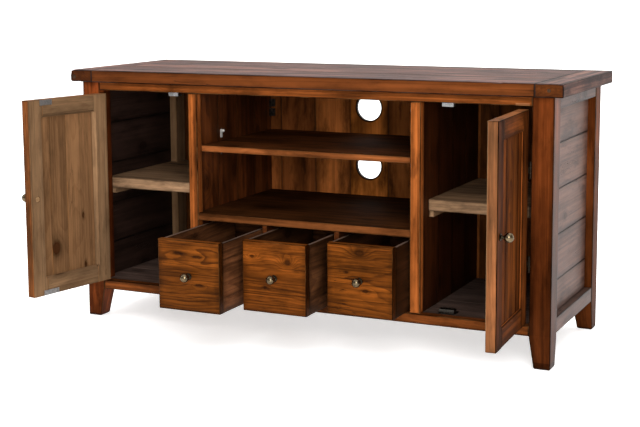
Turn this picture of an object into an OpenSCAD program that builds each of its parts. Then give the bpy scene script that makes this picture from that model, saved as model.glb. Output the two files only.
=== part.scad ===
// Media console in reclaimed pine: plank top with breadboard ends, four tapered
// legs, plank sides and back, two framed doors on butt hinges, two media bays
// with cable ports, and three box drawers. Millimetres, X right, Y back, Z up.
// The origin is on the floor, at the centre of the top's footprint, and the
// front faces -Y. Doors and drawers are drawn partly open.

/* [Overall] */
// Width over the top
total_w = 1400; // [1340:10:1500]
// Depth over the top
total_d = 500; // [480:10:540]
// Height from the floor to the top surface
total_h = 700; // [680:10:740]

/* [Top] */
// Thickness of the top
top_t = 33; // [28:1:38]
// Overhang of the top past the legs at each side
over_side = 26; // [15:1:30]
// Overhang of the top past the legs at the front and the back
over_face = 20; // [12:1:25]
// Width of each breadboard end
bread_w = 70; // [55:1:90]
// Number of planks between the breadboard ends
top_planks_n = 3; // [2:1:5]

/* [Legs] */
// Width of a leg, across the front
leg_w = 55; // [50:1:64]
// Depth of a leg, front to back
leg_d = 55; // [50:1:60]
// Height of the tapered foot below the rails
foot_h = 80; // [70:1:90]
// How far the two inner faces of a foot taper in at the floor
foot_in = 13; // [5:1:24]

/* [Rails and panels] */
// Height of the front bottom rail
rail_bottom_h = 26; // [20:1:34]
// Height of the front top rail
rail_top_h = 23; // [18:1:30]
// Thickness of the front rails and the partition stiles
rail_t = 25; // [20:1:28]
// Height of the top rail at each side
side_top_h = 32; // [25:1:40]
// Height of the bottom rail at each side
side_bottom_h = 39; // [30:1:45]
// Thickness of the rails at each side
side_rail_t = 20; // [16:1:20]
// Thickness of the side planks
side_t = 12; // [10:1:14]
// Number of planks in each side
side_n = 5; // [4:1:6]
// Thickness of the back planks
back_t = 10; // [8:1:14]
// Number of back planks on each side of the one with the cable ports
back_n = 5; // [3:1:6]

/* [Inside] */
// Distance from the middle to the outer face of each partition
part_x = 335; // [325:1:345]
// Thickness of the partition boards
part_t = 20; // [16:1:22]
// Width of the stile on the front edge of each partition
part_stile_w = 28; // [24:1:32]
// Height of the drawer bay
bay_h = 194; // [185:1:200]
// Thickness of the fixed shelf over the drawers
shelf_low_t = 20; // [16:1:24]
// Height of the underside of the adjustable media shelf
shelf_up_z = 484.5; // [450:0.5:500]
// Thickness of the adjustable media shelf
shelf_up_t = 17; // [15:1:22]
// Height of the underside of the cupboard shelves
cup_z = 362; // [320:1:400]
// Thickness of the cupboard shelves
cup_t = 30; // [20:1:32]
// How far the cupboard shelves stand back from the leg faces
cup_set = 58; // [57:1:90]
// Thickness of the boards between the drawers
divider_t = 14; // [12:1:16]
// Radius of each cable port
port_r = 38; // [25:1:42]
// Sideways offset of the cable ports from the middle
port_x = 3; // [-5:1:5]
// Height of the upper cable port's centre
port_up_z = 577; // [560:1:590]
// Height of the lower cable port's centre
port_low_z = 407; // [390:1:420]

/* [Doors] */
// Angle that the left door stands open, as drawn
door_left_open = 101; // [0:1:170]
// Angle that the right door stands open, as drawn
door_right_open = 93; // [0:1:170]
// Thickness of a door
door_t = 26; // [24:1:27]
// Width of the door stiles and rails
frame_w = 48; // [42:1:60]
// Thickness of the door planks
plank_t = 10; // [8:1:12]
// Gap at each upright edge of a door
gap_side = 1.5; // [1.2:0.1:2.5]
// Gap over a door
gap_top = 7; // [2:0.5:8]
// Gap under a door
gap_bottom = 7.5; // [2:0.5:8]
// Length of each butt hinge
hinge_l = 38; // [36:2:50]
// Distance from each door's middle to each hinge's middle
hinge_off = 115; // [90:0.5:170]

/* [Drawers] */
// How far the left drawer is pulled out, as drawn
drawer_left_out = 219; // [0:1:300]
// How far the middle drawer is pulled out, as drawn
drawer_middle_out = 151; // [0:1:300]
// How far the right drawer is pulled out, as drawn
drawer_right_out = 92; // [0:1:300]
// Width of each drawer
drawer_w = 180; // [170:1:182]
// Height of each drawer
drawer_h = 183; // [150:1:186]
// Length of each drawer over its front
drawer_l = 400; // [340:5:400]
// Thickness of the drawer fronts
front_t = 20; // [16:1:22]
// Thickness of the drawer sides and backs
box_t = 10; // [8:1:12]

/* [Fittings] */
// Radius of each knob's ball
knob_r = 11.5; // [9:0.5:13]
// Height of each knob's ball centre over the face it is on
knob_out = 20; // [16:0.5:22]
// Smoothness of round parts
round_fn = 64; // [32:8:96]

/* [Hidden] */

// colours, as the photograph shows them
stain = [0.50, 0.24, 0.10];
stain_dark = [0.34, 0.16, 0.08];
stain_grey = [0.42, 0.30, 0.25];
raw_pine = [0.62, 0.50, 0.38];
steel = [0.70, 0.70, 0.70];
brass = [0.52, 0.43, 0.27];

top_z = total_h - top_t;          // underside of the top
leg_x1 = total_w / 2 - over_side; // outer face of the legs
leg_x0 = leg_x1 - leg_w;          // inner face of the legs
front_y = -total_d / 2 + over_face;
back_y = total_d / 2 - over_face;
face_y = front_y + 1;             // rails, stiles and doors stand back 1 mm
rail_y = face_y + rail_t;         // back of the front rails
floor_z = foot_h + rail_bottom_h; // top of the floor boards
floor_t = 14;
head_z = top_z - rail_top_h;      // underside of the front top rail
wall_x1 = leg_x1 - 1 - side_rail_t; // outer face of the side planks
wall_x0 = wall_x1 - side_t;       // inner face of the side planks
in_y = back_y - back_t;           // inner face of the back planks
leg_yf = front_y + leg_d;         // back of the front legs
leg_yb = back_y - leg_d;          // front of the rear legs
groove_d = 12;                    // depth of the plank groove in the legs
part_x0 = part_x - part_t;        // inner face of the partitions
stile_x0 = part_x - part_stile_w; // inner edge of the partition stiles
slot_z1 = floor_z + bay_h;        // underside of the fixed shelf
div_c = (2 * stile_x0 - 2 * divider_t) / 6 + divider_t / 2; // divider centre
slot_c = (stile_x0 + div_c + divider_t / 2) / 2;            // centre of the outer slots

// closed left door: edges, face and hinge axis
dx0 = -leg_x0 + gap_side;
dx1 = -part_x - gap_side;
dz0 = floor_z + gap_bottom;
dz1 = head_z - gap_top;
dyb = face_y + door_t;
hx = -leg_x0 + gap_side / 2;
hy = front_y - 3.8;
hinge_r = 3.2;
pin_r = 1.5;
leaf_t = 1.4;
leaf_d = 22;
hinge_z = [(dz0 + dz1) / 2 - hinge_off, (dz0 + dz1) / 2 + hinge_off];
knob_dx = dx1 - 22;
knob_dz = (dz0 + dz1) / 2;
catch_x = -396;

// a rectangle whose corners are cut back by r in n steps; r is one number or
// one for each corner: [a1 b0, a1 b1, a0 b1, a0 b0]
function corner_pts(cx, cy, r, a, n) = r == 0 ? [[cx, cy]] :
  [for (i = [0:n]) [cx + r * cos(a + 90 * i / n), cy + r * sin(a + 90 * i / n)]];
function rr(a0, a1, b0, b1, r, n = 1) =
  let (q = is_list(r) ? r : [r, r, r, r])
  concat(corner_pts(a1 - q[0], b0 + q[0], q[0], -90, n),
         corner_pts(a1 - q[1], b1 - q[1], q[1], 0, n),
         corner_pts(a0 + q[2], b1 - q[2], q[2], 90, n),
         corner_pts(a0 + q[3], b0 + q[3], q[3], 180, n));

// prisms along each axis; the outline is in the other two, in X, Y, Z order
module along_x(x0, x1, pts) translate([x0, 0, 0]) rotate([90, 0, 90]) linear_extrude(x1 - x0) polygon(pts);
module along_y(y0, y1, pts) translate([0, y1, 0]) rotate([90, 0, 0]) linear_extrude(y1 - y0) polygon(pts);
module along_z(z0, z1, pts) translate([0, 0, z0]) linear_extrude(z1 - z0) polygon(pts);
module board_x(x0, x1, y0, y1, z0, z1, r = 1, n = 1) along_x(x0, x1, rr(y0, y1, z0, z1, r, n));
module board_y(x0, x1, y0, y1, z0, z1, r = 1, n = 1) along_y(y0, y1, rr(x0, x1, z0, z1, r, n));
module board_z(x0, x1, y0, y1, z0, z1, r = 1, n = 1) along_z(z0, z1, rr(x0, x1, y0, y1, r, n));
module box(x0, x1, y0, y1, z0, z1) translate([x0, y0, z0]) cube([x1 - x0, y1 - y0, z1 - z0]);
module both_sides() { children(); mirror([1, 0, 0]) children(); }

/* ---- top ---- */
module top_planks() color(stain_grey) {
  w = total_d / top_planks_n;
  for (i = [0:top_planks_n - 1]) {
    y0 = -total_d / 2 + i * w;
    r0 = i == 0 ? 4 : 1.2;
    r1 = i == top_planks_n - 1 ? 4 : 1.2;
    b0 = i == 0 ? 3 : 0;
    b1 = i == top_planks_n - 1 ? 3 : 0;
    board_x(-total_w / 2 + bread_w, total_w / 2 - bread_w, y0, y0 + w, top_z, total_h, [b1, r1, r0, b0], 3);
  }
}

module peg_hole(x, z, r) translate([x, -total_d / 2 + 14, z]) rotate([90, 0, 0]) cylinder(h = 14, r = r, $fn = round_fn);

module breadboard(peg_in, peg_z, peg_r) {
  x0 = total_w / 2 - bread_w;
  x1 = total_w / 2;
  difference() {
    intersection() {
      board_x(x0, x1, -total_d / 2, total_d / 2, top_z, total_h, [3, 4, 4, 3], 3);
      board_y(x0, x1, -total_d / 2, total_d / 2, top_z, total_h, [3, 4, 1.2, 0], 3);
      board_z(x0, x1, -total_d / 2, total_d / 2, top_z, total_h, [2.5, 5, 0, 0], 3);
    }
    peg_hole(x1 - peg_in, peg_z, peg_r);
  }
}
peg_left_in = 13;
peg_right_in = 35;
module breadboard_right() color(stain_grey) breadboard(peg_right_in, top_z + 17, 4.5);
module breadboard_left() color(stain_grey) mirror([1, 0, 0]) breadboard(peg_left_in, top_z + 14, 6);
module top_pegs() color(stain_dark) {
  translate([total_w / 2 - peg_right_in, -total_d / 2 + 14, top_z + 17]) rotate([90, 0, 0]) cylinder(h = 13.4, r = 4.5, $fn = round_fn);
  translate([-total_w / 2 + peg_left_in, -total_d / 2 + 14, top_z + 14]) rotate([90, 0, 0]) cylinder(h = 13.4, r = 6, $fn = round_fn);
}

/* ---- legs ---- */
// the outline across the front, for a leg on the right: outer face upright,
// inner face tapering below foot_h
function leg_xz() = [
  [leg_x0 + foot_in + 3, 0], [leg_x1 - 3, 0], [leg_x1, 3], [leg_x1, top_z],
  [leg_x0, top_z], [leg_x0, foot_h], [leg_x0 + foot_in, 3]];
function leg_front_yz() = [
  [front_y + 3, 0], [leg_yf - foot_in - 3, 0], [leg_yf - foot_in, 3],
  [leg_yf, foot_h], [leg_yf, top_z], [front_y, top_z], [front_y, 3]];
function leg_rear_yz() = [
  [leg_yb + foot_in + 3, 0], [back_y - 3, 0], [back_y, 3], [back_y, top_z],
  [leg_yb, top_z], [leg_yb, foot_h], [leg_yb + foot_in, 3]];

module leg_front() difference() {
  intersection() {
    along_y(front_y, leg_yf, leg_xz());
    along_x(leg_x0, leg_x1, leg_front_yz());
    board_z(leg_x0, leg_x1, front_y, leg_yf, 0, top_z, [3, 1.5, 0.5, 2], 2);
  }
  // groove for the side planks
  box(wall_x0, wall_x1, leg_yf - groove_d, leg_yf + 1, foot_h + 4, top_z + 1);
  // mortises for the hinge leaves
  for (z = hinge_z) box(leg_x0 - 1, leg_x0 + leaf_t, front_y - 1, front_y + leaf_d, z - hinge_l / 2, z + hinge_l / 2);
}
module leg_rear() difference() {
  intersection() {
    along_y(leg_yb, back_y, leg_xz());
    along_x(leg_x0, leg_x1, leg_rear_yz());
    board_z(leg_x0, leg_x1, leg_yb, back_y, 0, top_z, [1.5, 3, 1, 0.5], 2);
  }
  box(wall_x0, wall_x1, leg_yb - 1, leg_yb + groove_d, foot_h + 4, top_z + 1);
}
module leg_front_right() color(stain) leg_front();
module leg_front_left() color(stain) mirror([1, 0, 0]) leg_front();
module leg_rear_right() color(stain) leg_rear();
module leg_rear_left() color(stain) mirror([1, 0, 0]) leg_rear();

/* ---- rails and panels ---- */
module front_top_rail() color(stain) board_x(-leg_x0, leg_x0, face_y, rail_y, head_z, top_z, [0.6, 0, 0, 1.5], 2);
module front_bottom_rail() color(stain) board_x(-leg_x0, leg_x0, face_y, rail_y, foot_h, floor_z, [1, 0, 1.5, 2], 2);
module back_top_rail() color(stain_dark) board_x(-leg_x0, leg_x0, in_y - 20, in_y, top_z - side_top_h, top_z, [1, 0, 0, 1]);
module side_rails() color(stain_grey) both_sides() {
  board_y(wall_x1, wall_x1 + side_rail_t, leg_yf, leg_yb, top_z - side_top_h, top_z, [1.5, 0, 0, 0.6], 2);
  board_y(wall_x1, wall_x1 + side_rail_t, leg_yf, leg_yb, foot_h + 1, foot_h + 1 + side_bottom_h, [2, 2, 0.6, 0.6], 2);
}

side_pitch = (top_z - 8 - foot_h - 4) / side_n;
module side_planks() for (i = [0:side_n - 1]) {
  z0 = foot_h + 4 + i * side_pitch;
  z1 = i == side_n - 1 ? top_z : z0 + side_pitch;
  c0 = i == 0 ? 0 : 2.5;
  c1 = i == side_n - 1 ? 0 : 2.5;
  board_y(wall_x0, wall_x1, leg_yf - groove_d, leg_yb + groove_d, z0, z1, [c0, c1, c1 * 0.5, c0 * 0.5]);
}
module side_planks_right() color(stain_grey) side_planks();
module side_planks_left() color(stain_grey) mirror([1, 0, 0]) side_planks();

port_w = 120; // width of the plank with the cable ports
module back_plank(x0, x1) board_z(x0, x1, in_y, back_y, foot_h, top_z, [1.8, 1.2, 1.2, 1.8]);
module back_planks() color(stain_dark) {
  wl = (port_x - port_w / 2 + leg_x0) / back_n;
  wr = (leg_x0 - port_x - port_w / 2) / back_n;
  for (i = [0:back_n - 1]) {
    back_plank(-leg_x0 + i * wl, -leg_x0 + (i + 1) * wl);
    back_plank(port_x + port_w / 2 + i * wr, port_x + port_w / 2 + (i + 1) * wr);
  }
}
module back_plank_ported() color(stain_dark) difference() {
  back_plank(port_x - port_w / 2, port_x + port_w / 2);
  for (z = [port_up_z, port_low_z])
    translate([port_x, back_y + 1, z]) rotate([90, 0, 0]) cylinder(h = back_t + 2, r = port_r, $fn = round_fn);
}

/* ---- inside ---- */
pin_y = [-84, 140];
pin_up_z = shelf_up_z - 4;
pin_spare_z = pin_up_z + 48.5;
module pin_hole(y, z, r, l) translate([part_x0 - 9, y, z]) rotate([0, 90, 0]) cylinder(h = l, r = r, $fn = 32);
module partition() difference() {
  w = (in_y - rail_y) / 4;
  for (i = [0:3]) {
    c0 = i == 0 ? 0 : 1.5;
    c1 = i == 3 ? 0 : 1.5;
    board_z(part_x0, part_x, rail_y + i * w, rail_y + (i + 1) * w, floor_z, top_z, [c0, c1, c1, c0]);
  }
  // notch for the back top rail
  box(part_x0 - 1, part_x + 1, in_y - 20, in_y + 1, top_z - side_top_h, top_z + 1);
  for (y = pin_y) translate([9, 0, 0]) pin_hole(y, pin_up_z, 3, 8);
  translate([9, 0, 0]) pin_hole(pin_y[0], pin_spare_z, 3, 8);
}
module partition_right() color(stain_dark) partition();
module partition_left() color(stain_dark) mirror([1, 0, 0]) partition();
module partition_stiles() color(stain) both_sides()
  board_z(stile_x0, part_x, face_y, rail_y, floor_z, head_z, [1.5, 0, 0.6, 1.5], 2);

module floor_boards() color(stain_grey) difference() {
  w = (in_y - rail_y) / 3;
  for (i = [0:2]) {
    c0 = i == 0 ? 0 : 1;
    c1 = i == 2 ? 0 : 1;
    board_x(-wall_x0, wall_x0, rail_y + i * w, rail_y + (i + 1) * w, floor_z - floor_t, floor_z, [0, c1, c0, 0]);
  }
  both_sides() {
    box(leg_x0, wall_x0 + 1, rail_y - 1, leg_yf, floor_z - floor_t - 1, floor_z + 1);
    box(leg_x0, wall_x0 + 1, leg_yb, in_y + 1, floor_z - floor_t - 1, floor_z + 1);
  }
}
module floor_bearers() color(raw_pine) {
  z0 = foot_h;
  z1 = floor_z - floor_t;
  board_x(-leg_x0, leg_x0, rail_y, rail_y + 20, z0, z1);
  board_x(-leg_x0, leg_x0, in_y - 20, in_y, z0, z1);
  both_sides() {
    board_y(wall_x0 - 20, wall_x0, leg_yf, leg_yb, z0, z1);
    board_y(part_x0, part_x, rail_y + 20, in_y - 20, z0, z1);
  }
}

module media_shelf_upper() color(stain) board_x(-part_x0 + 3, part_x0 - 3, rail_y + 0.5, in_y - 2, shelf_up_z, shelf_up_z + shelf_up_t, [0.6, 0.6, 1.5, 1.5], 2);
module media_shelf_lower() color(stain) union() {
  board_x(-stile_x0, stile_x0, face_y + 1, rail_y + 5, slot_z1, slot_z1 + shelf_low_t, [0, 0, 1.5, 1.5], 2);
  board_x(-part_x0, part_x0, rail_y, in_y, slot_z1, slot_z1 + shelf_low_t, 0);
}

module cupboard_shelf() {
  y0 = front_y + cup_set;
  y1 = in_y - 1;
  w = (y1 - y0) / 3;
  difference() {
    for (i = [0:2]) {
      c0 = i == 0 ? 2 : 1;
      c1 = i == 2 ? 1 : 1;
      board_x(part_x + 1, wall_x0 - 0.5, y0 + i * w, y0 + (i + 1) * w, cup_z, cup_z + cup_t, [0.5, c1, c0, c0 * 0.8]);
    }
    box(leg_x0 - 1, wall_x0 + 1, leg_yb - 1, in_y + 1, cup_z - 1, cup_z + cup_t + 1);
  }
}
module cupboard_shelf_right() color(raw_pine) cupboard_shelf();
module cupboard_shelf_left() color(raw_pine) mirror([1, 0, 0]) cupboard_shelf();
module shelf_cleats() color(raw_pine) both_sides() {
  y0 = front_y + cup_set + 7;
  board_y(part_x, part_x + 13, y0, in_y - 15, cup_z - 17, cup_z);
  board_y(leg_x0 - 5, wall_x0, y0, leg_yb - 5, cup_z - 17, cup_z);
}

// a shelf pin: shank in the partition, plate down its face, round nose under the shelf
module shelf_pin() {
  rotate([0, 90, 0]) cylinder(h = 8, r = 3, $fn = 32);
  translate([-1.6, 0, 0]) rotate([0, 90, 0]) cylinder(h = 1.6, r = 5, $fn = 32);
  box(-1.6, 0, -5, 5, -19, 0);
  translate([-7, 0, 0]) rotate([0, 90, 0]) cylinder(h = 6, r = 4, $fn = 32);
  translate([-7, 0, 0]) sphere(r = 4, $fn = 32);
}
module shelf_pins() color(steel) both_sides() {
  for (y = pin_y) translate([part_x0, y, pin_up_z]) difference() {
    shelf_pin();
    box(-12, 0, -6, 6, 4, 6); // the plate is cut level with the shelf's underside
  }
  translate([part_x0, pin_y[0], pin_spare_z]) shelf_pin();
}

module drawer_dividers() color(stain_dark) both_sides()
  board_y(div_c - divider_t / 2, div_c + divider_t / 2, face_y, in_y, floor_z, slot_z1, 0.6);

guide_h = 24;
travel = 300; // how far a drawer pulls out before its back meets its stop
module drawer_guides() color(raw_pine) {
  y0 = rail_y + 4;
  y1 = in_y - 10;
  both_sides() {
    board_y(drawer_w / 2 + 1, div_c - divider_t / 2, y0, y1, floor_z, floor_z + guide_h);
    board_y(div_c + divider_t / 2, slot_c - drawer_w / 2 - 1, y0, y1, floor_z, floor_z + guide_h);
    board_y(slot_c + drawer_w / 2 + 1, part_x0, y0, y1, floor_z, floor_z + guide_h);
  }
  // blocks under the fixed shelf that stop a drawer's back
  ys = face_y + drawer_l - box_t - travel - 1;
  for (x = [-slot_c, 0, slot_c]) board_x(x - 28, x + 28, ys - 12, ys, slot_z1 - 16, slot_z1, 0.8);
}

module corner_brackets() color(steel) both_sides() for (z0 = [port_up_z - 36, port_up_z - 8]) union() {
  box(part_x0 - 2, part_x0, in_y - 14, in_y, z0, z0 + 23);
  box(part_x0 - 14, part_x0, in_y - 2, in_y, z0, z0 + 23);
}

// magnetic catches: one behind the top rail and one on the floor, for each door
module catches() color(steel) for (s = [-1, 1]) translate([s * -catch_x, 0, 0]) {
  union() {
    box(-15, 15, rail_y, dyb + 4, head_z + 2, head_z + 19);
    box(-15, 15, dyb + 2, dyb + 20, head_z - 12, head_z + 4);
  }
  union() {
    box(-22, 22, dyb + 2, dyb + 36, floor_z, floor_z + 2);
    box(-20, 20, dyb + 2, dyb + 22, floor_z, floor_z + 12);
  }
}

/* ---- hinges ---- */
seg = (hinge_l - 0.6) / 3; // length of a knuckle
module frame_leaf(z) difference() {
  union() {
    box(-leg_x0 - leaf_t, -leg_x0, front_y, front_y + leaf_d, z - hinge_l / 2, z + hinge_l / 2);
    for (k = [0, 1]) {
      z0 = k == 0 ? z - hinge_l / 2 : z + hinge_l / 2 - seg;
      box(-leg_x0 - leaf_t, -leg_x0, hy, front_y + 1, z0, z0 + seg);
      translate([hx, hy, z0]) cylinder(h = seg, r = hinge_r, $fn = 32);
    }
  }
  translate([hx, hy, z - hinge_l / 2 - 1]) cylinder(h = hinge_l + 2, r = pin_r, $fn = 32);
}
module door_leaf(z) difference() {
  union() {
    box(dx0, dx0 + leaf_t, face_y, face_y + leaf_d - 1, z - hinge_l / 2, z + hinge_l / 2);
    box(dx0, dx0 + leaf_t, hy, face_y + 1, z - seg / 2, z + seg / 2);
    translate([hx, hy, z - seg / 2]) cylinder(h = seg, r = hinge_r, $fn = 32);
  }
  translate([hx, hy, z - hinge_l]) cylinder(h = 2 * hinge_l, r = pin_r + 0.06, $fn = 32);
}
module hinge_frame_leaves() color(brass) both_sides() for (z = hinge_z) frame_leaf(z);
module hinge_pins() color(brass) both_sides() for (z = hinge_z) translate([hx, hy, z]) {
  translate([0, 0, -hinge_l / 2]) cylinder(h = hinge_l, r = pin_r, $fn = 32);
  for (s = [0, 1]) mirror([0, 0, s]) translate([0, 0, hinge_l / 2]) cylinder(h = 1.6, r = 2.4, $fn = 32);
}

/* ---- knobs ---- */
// turned knob on the plane Y = 0, standing out along -Y, and the slotted screw
// that holds it from behind a piece t thick, with a head of radius r
module knob(t, r = 5) {
  rotate([90, 0, 0]) rotate_extrude($fn = round_fn) intersection() {
    union() {
      polygon([[0, 0], [9, 0], [9, 1.2], [8.2, 2.2], [6.2, 3], [4.8, 4.4], [4.2, 6.4], [4.2, 11], [0, 11]]);
      translate([0, knob_out]) circle(r = knob_r, $fn = round_fn);
    }
    square([20, 40]);
  }
  difference() {
    union() {
      translate([0, t + 0.2, 0]) rotate([90, 0, 0]) cylinder(h = t + 0.2, r = 2, $fn = 32);
      translate([0, t + 2.4, 0]) rotate([90, 0, 0]) cylinder(h = 2.4, r = r, $fn = 32);
    }
    box(-r - 1, r + 1, t + 1.4, t + 3, -0.6, 0.6);
  }
}
module knob_bore(t) translate([0, t + 1, 0]) rotate([90, 0, 0]) cylinder(h = t + 2, r = 2, $fn = 32);

/* ---- doors, drawn closed on the left and then swung open ---- */
pl_y0 = face_y + 5;
pl_y1 = pl_y0 + plank_t;
tongue = 8;
sink = 3; // how deep the knob's screw is let into a door
// cutters for the edge round a door's planks: a small chamfer on the outer
// face and a deep bevel on the inner face, as [Y, width, depth]
edge_cuts = [[face_y, 3, 3], [dyb, 6, 10]];
module cut_stile_edge(x) for (e = edge_cuts)
  translate([x, e[0], 0]) along_z(dz0 + frame_w, dz1 - frame_w, [[-e[1], 0], [0, -e[2]], [e[1], 0], [0, e[2]]]);
module cut_rail_edge(z) for (e = edge_cuts)
  translate([0, e[0], z]) along_x(dx0 + frame_w - 1, dx1 - frame_w + 1, [[-e[2], 0], [0, -e[1]], [e[2], 0], [0, e[1]]]);
module stiles() {
  difference() {
    board_z(dx0, dx0 + frame_w, face_y, dyb, dz0, dz1, [0.5, 0.5, 0.8, 0.8]);
    box(dx0 + frame_w - tongue, dx0 + frame_w + 1, pl_y0, pl_y1, dz0 + frame_w - tongue, dz1 - frame_w + tongue);
    cut_stile_edge(dx0 + frame_w);
    for (z = hinge_z) box(dx0 - 1, dx0 + leaf_t, face_y - 1, face_y + leaf_d - 1, z - hinge_l / 2, z + hinge_l / 2);
  }
  difference() {
    board_z(dx1 - frame_w, dx1, face_y, dyb, dz0, dz1, [2, 2, 0.5, 0.5], 2);
    box(dx1 - frame_w - 1, dx1 - frame_w + tongue, pl_y0, pl_y1, dz0 + frame_w - tongue, dz1 - frame_w + tongue);
    cut_stile_edge(dx1 - frame_w);
    translate([knob_dx, face_y, knob_dz]) knob_bore(door_t);
    translate([knob_dx, dyb + 1, knob_dz]) rotate([90, 0, 0]) cylinder(h = sink + 1, r = 8, $fn = round_fn);
  }
}
module rails() for (k = [0, 1]) {
  z0 = k == 0 ? dz0 : dz1 - frame_w;
  zi = k == 0 ? dz0 + frame_w : dz1 - frame_w;
  difference() {
    board_x(dx0 + frame_w, dx1 - frame_w, face_y, dyb, z0, z0 + frame_w, k == 0 ? [0.8, 0, 0, 0.8] : [0, 0.8, 0.8, 0]);
    cut_rail_edge(zi);
    box(dx0, dx1, pl_y0, pl_y1, k == 0 ? zi - tongue : zi - 1, k == 0 ? zi + 1 : zi + tongue);
  }
}
module planks(joints) { // where the planks meet, measured from the door's free edge
  x0 = dx0 + frame_w - tongue;
  x1 = dx1 - frame_w + tongue;
  cuts = [x0, dx1 - joints[1], dx1 - joints[0], x1];
  for (i = [0:2]) {
    c0 = i == 0 ? 0 : 2;
    c1 = i == 2 ? 0 : 2;
    board_z(cuts[i], cuts[i + 1], pl_y0, pl_y1, dz0 + frame_w - tongue, dz1 - frame_w + tongue, [c1, c1 * 0.2, c0 * 0.2, c0]);
  }
}
module strikes() {
  box(catch_x - 21, catch_x + 21, dyb, dyb + 1.2, dz1 - 15, dz1 - 1);
  box(catch_x - 26, catch_x + 26, dyb, dyb + 1.2, dz0 + 1, dz0 + 14);
}
module door_knob() translate([knob_dx, face_y, knob_dz]) knob(door_t - sink, 7);
module swing_left() translate([hx, hy, 0]) rotate([0, 0, -door_left_open]) translate([-hx, -hy, 0]) children();
module swing_right() translate([-hx, hy, 0]) rotate([0, 0, door_right_open]) translate([hx, -hy, 0]) mirror([1, 0, 0]) children();
module door_left_stiles() color(raw_pine) swing_left() stiles();
module door_left_rails() color(raw_pine) swing_left() rails();
module door_left_planks() color(raw_pine) swing_left() planks([77, 137]);
module door_left_knob() color(brass) swing_left() door_knob();
module door_left_hinge_leaves() color(brass) swing_left() for (z = hinge_z) door_leaf(z);
module door_left_strikes() color(steel) swing_left() strikes();
module door_right_stiles() color(stain) swing_right() stiles();
module door_right_rails() color(stain) swing_right() rails();
module door_right_planks() color(stain) swing_right() planks([92, 196]);
module door_right_knob() color(brass) swing_right() door_knob();
module door_right_hinge_leaves() color(brass) swing_right() for (z = hinge_z) door_leaf(z);
module door_right_strikes() color(steel) swing_right() strikes();

/* ---- drawers, drawn closed about X = 0 and then pulled out ---- */
dr_z0 = floor_z + 1;
dr_z1 = dr_z0 + drawer_h;
module dr_front() difference() {
  intersection() {
    board_x(-drawer_w / 2, drawer_w / 2, face_y, face_y + front_t, dr_z0, dr_z1, [0.5, 0.5, 2, 2], 2);
    board_z(-drawer_w / 2, drawer_w / 2, face_y, face_y + front_t, dr_z0, dr_z1, [2, 0.5, 0.5, 2], 2);
  }
  translate([0, face_y, (dr_z0 + dr_z1) / 2]) knob_bore(front_t);
}
module dr_sides() both_sides()
  board_y(drawer_w / 2 - box_t, drawer_w / 2, face_y + front_t, face_y + drawer_l, dr_z0, dr_z1 - 2, [0.6, 1.2, 1.2, 0.6], 2);
module dr_back() board_x(-drawer_w / 2 + box_t, drawer_w / 2 - box_t, face_y + drawer_l - box_t, face_y + drawer_l, dr_z0 + 6, dr_z1 - 2, [0.6, 1.2, 1.2, 0.6], 2);
module dr_bottom() box(-drawer_w / 2 + box_t, drawer_w / 2 - box_t, face_y + front_t, face_y + drawer_l - box_t, dr_z0 + 6, dr_z0 + 12);
module dr_knob() translate([0, face_y, (dr_z0 + dr_z1) / 2]) knob(front_t);
module at_left() translate([-slot_c, -drawer_left_out, 0]) children();
module at_middle() translate([0, -drawer_middle_out, 0]) children();
module at_right() translate([slot_c, -drawer_right_out, 0]) children();
module drawer_left_front() color(stain) at_left() dr_front();
module drawer_left_sides() color(stain_dark) at_left() dr_sides();
module drawer_left_back() color(stain_dark) at_left() dr_back();
module drawer_left_bottom() color(raw_pine) at_left() dr_bottom();
module drawer_left_knob() color(brass) at_left() dr_knob();
module drawer_middle_front() color(stain) at_middle() dr_front();
module drawer_middle_sides() color(stain_dark) at_middle() dr_sides();
module drawer_middle_back() color(stain_dark) at_middle() dr_back();
module drawer_middle_bottom() color(raw_pine) at_middle() dr_bottom();
module drawer_middle_knob() color(brass) at_middle() dr_knob();
module drawer_right_front() color(stain) at_right() dr_front();
module drawer_right_sides() color(stain_dark) at_right() dr_sides();
module drawer_right_back() color(stain_dark) at_right() dr_back();
module drawer_right_bottom() color(raw_pine) at_right() dr_bottom();
module drawer_right_knob() color(brass) at_right() dr_knob();

top_planks();
breadboard_left();
breadboard_right();
leg_front_left();
leg_front_right();
leg_rear_left();
leg_rear_right();
front_top_rail();
front_bottom_rail();
back_top_rail();
side_rails();
side_planks_left();
side_planks_right();
back_planks();
back_plank_ported();
partition_left();
partition_right();
partition_stiles();
floor_boards();
floor_bearers();
media_shelf_upper();
media_shelf_lower();
cupboard_shelf_left();
cupboard_shelf_right();
shelf_cleats();
shelf_pins();
drawer_dividers();
drawer_guides();
corner_brackets();
catches();
hinge_frame_leaves();
hinge_pins();
top_pegs();
door_left_stiles();
door_left_rails();
door_left_planks();
door_left_knob();
door_left_hinge_leaves();
door_left_strikes();
door_right_stiles();
door_right_rails();
door_right_planks();
door_right_knob();
door_right_hinge_leaves();
door_right_strikes();
drawer_left_front();
drawer_left_sides();
drawer_left_back();
drawer_left_bottom();
drawer_left_knob();
drawer_middle_front();
drawer_middle_sides();
drawer_middle_back();
drawer_middle_bottom();
drawer_middle_knob();
drawer_right_front();
drawer_right_sides();
drawer_right_back();
drawer_right_bottom();
drawer_right_knob();
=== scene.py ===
import math

import bmesh
import bpy
import numpy as np
from mathutils import Matrix, Vector, noise


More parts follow.
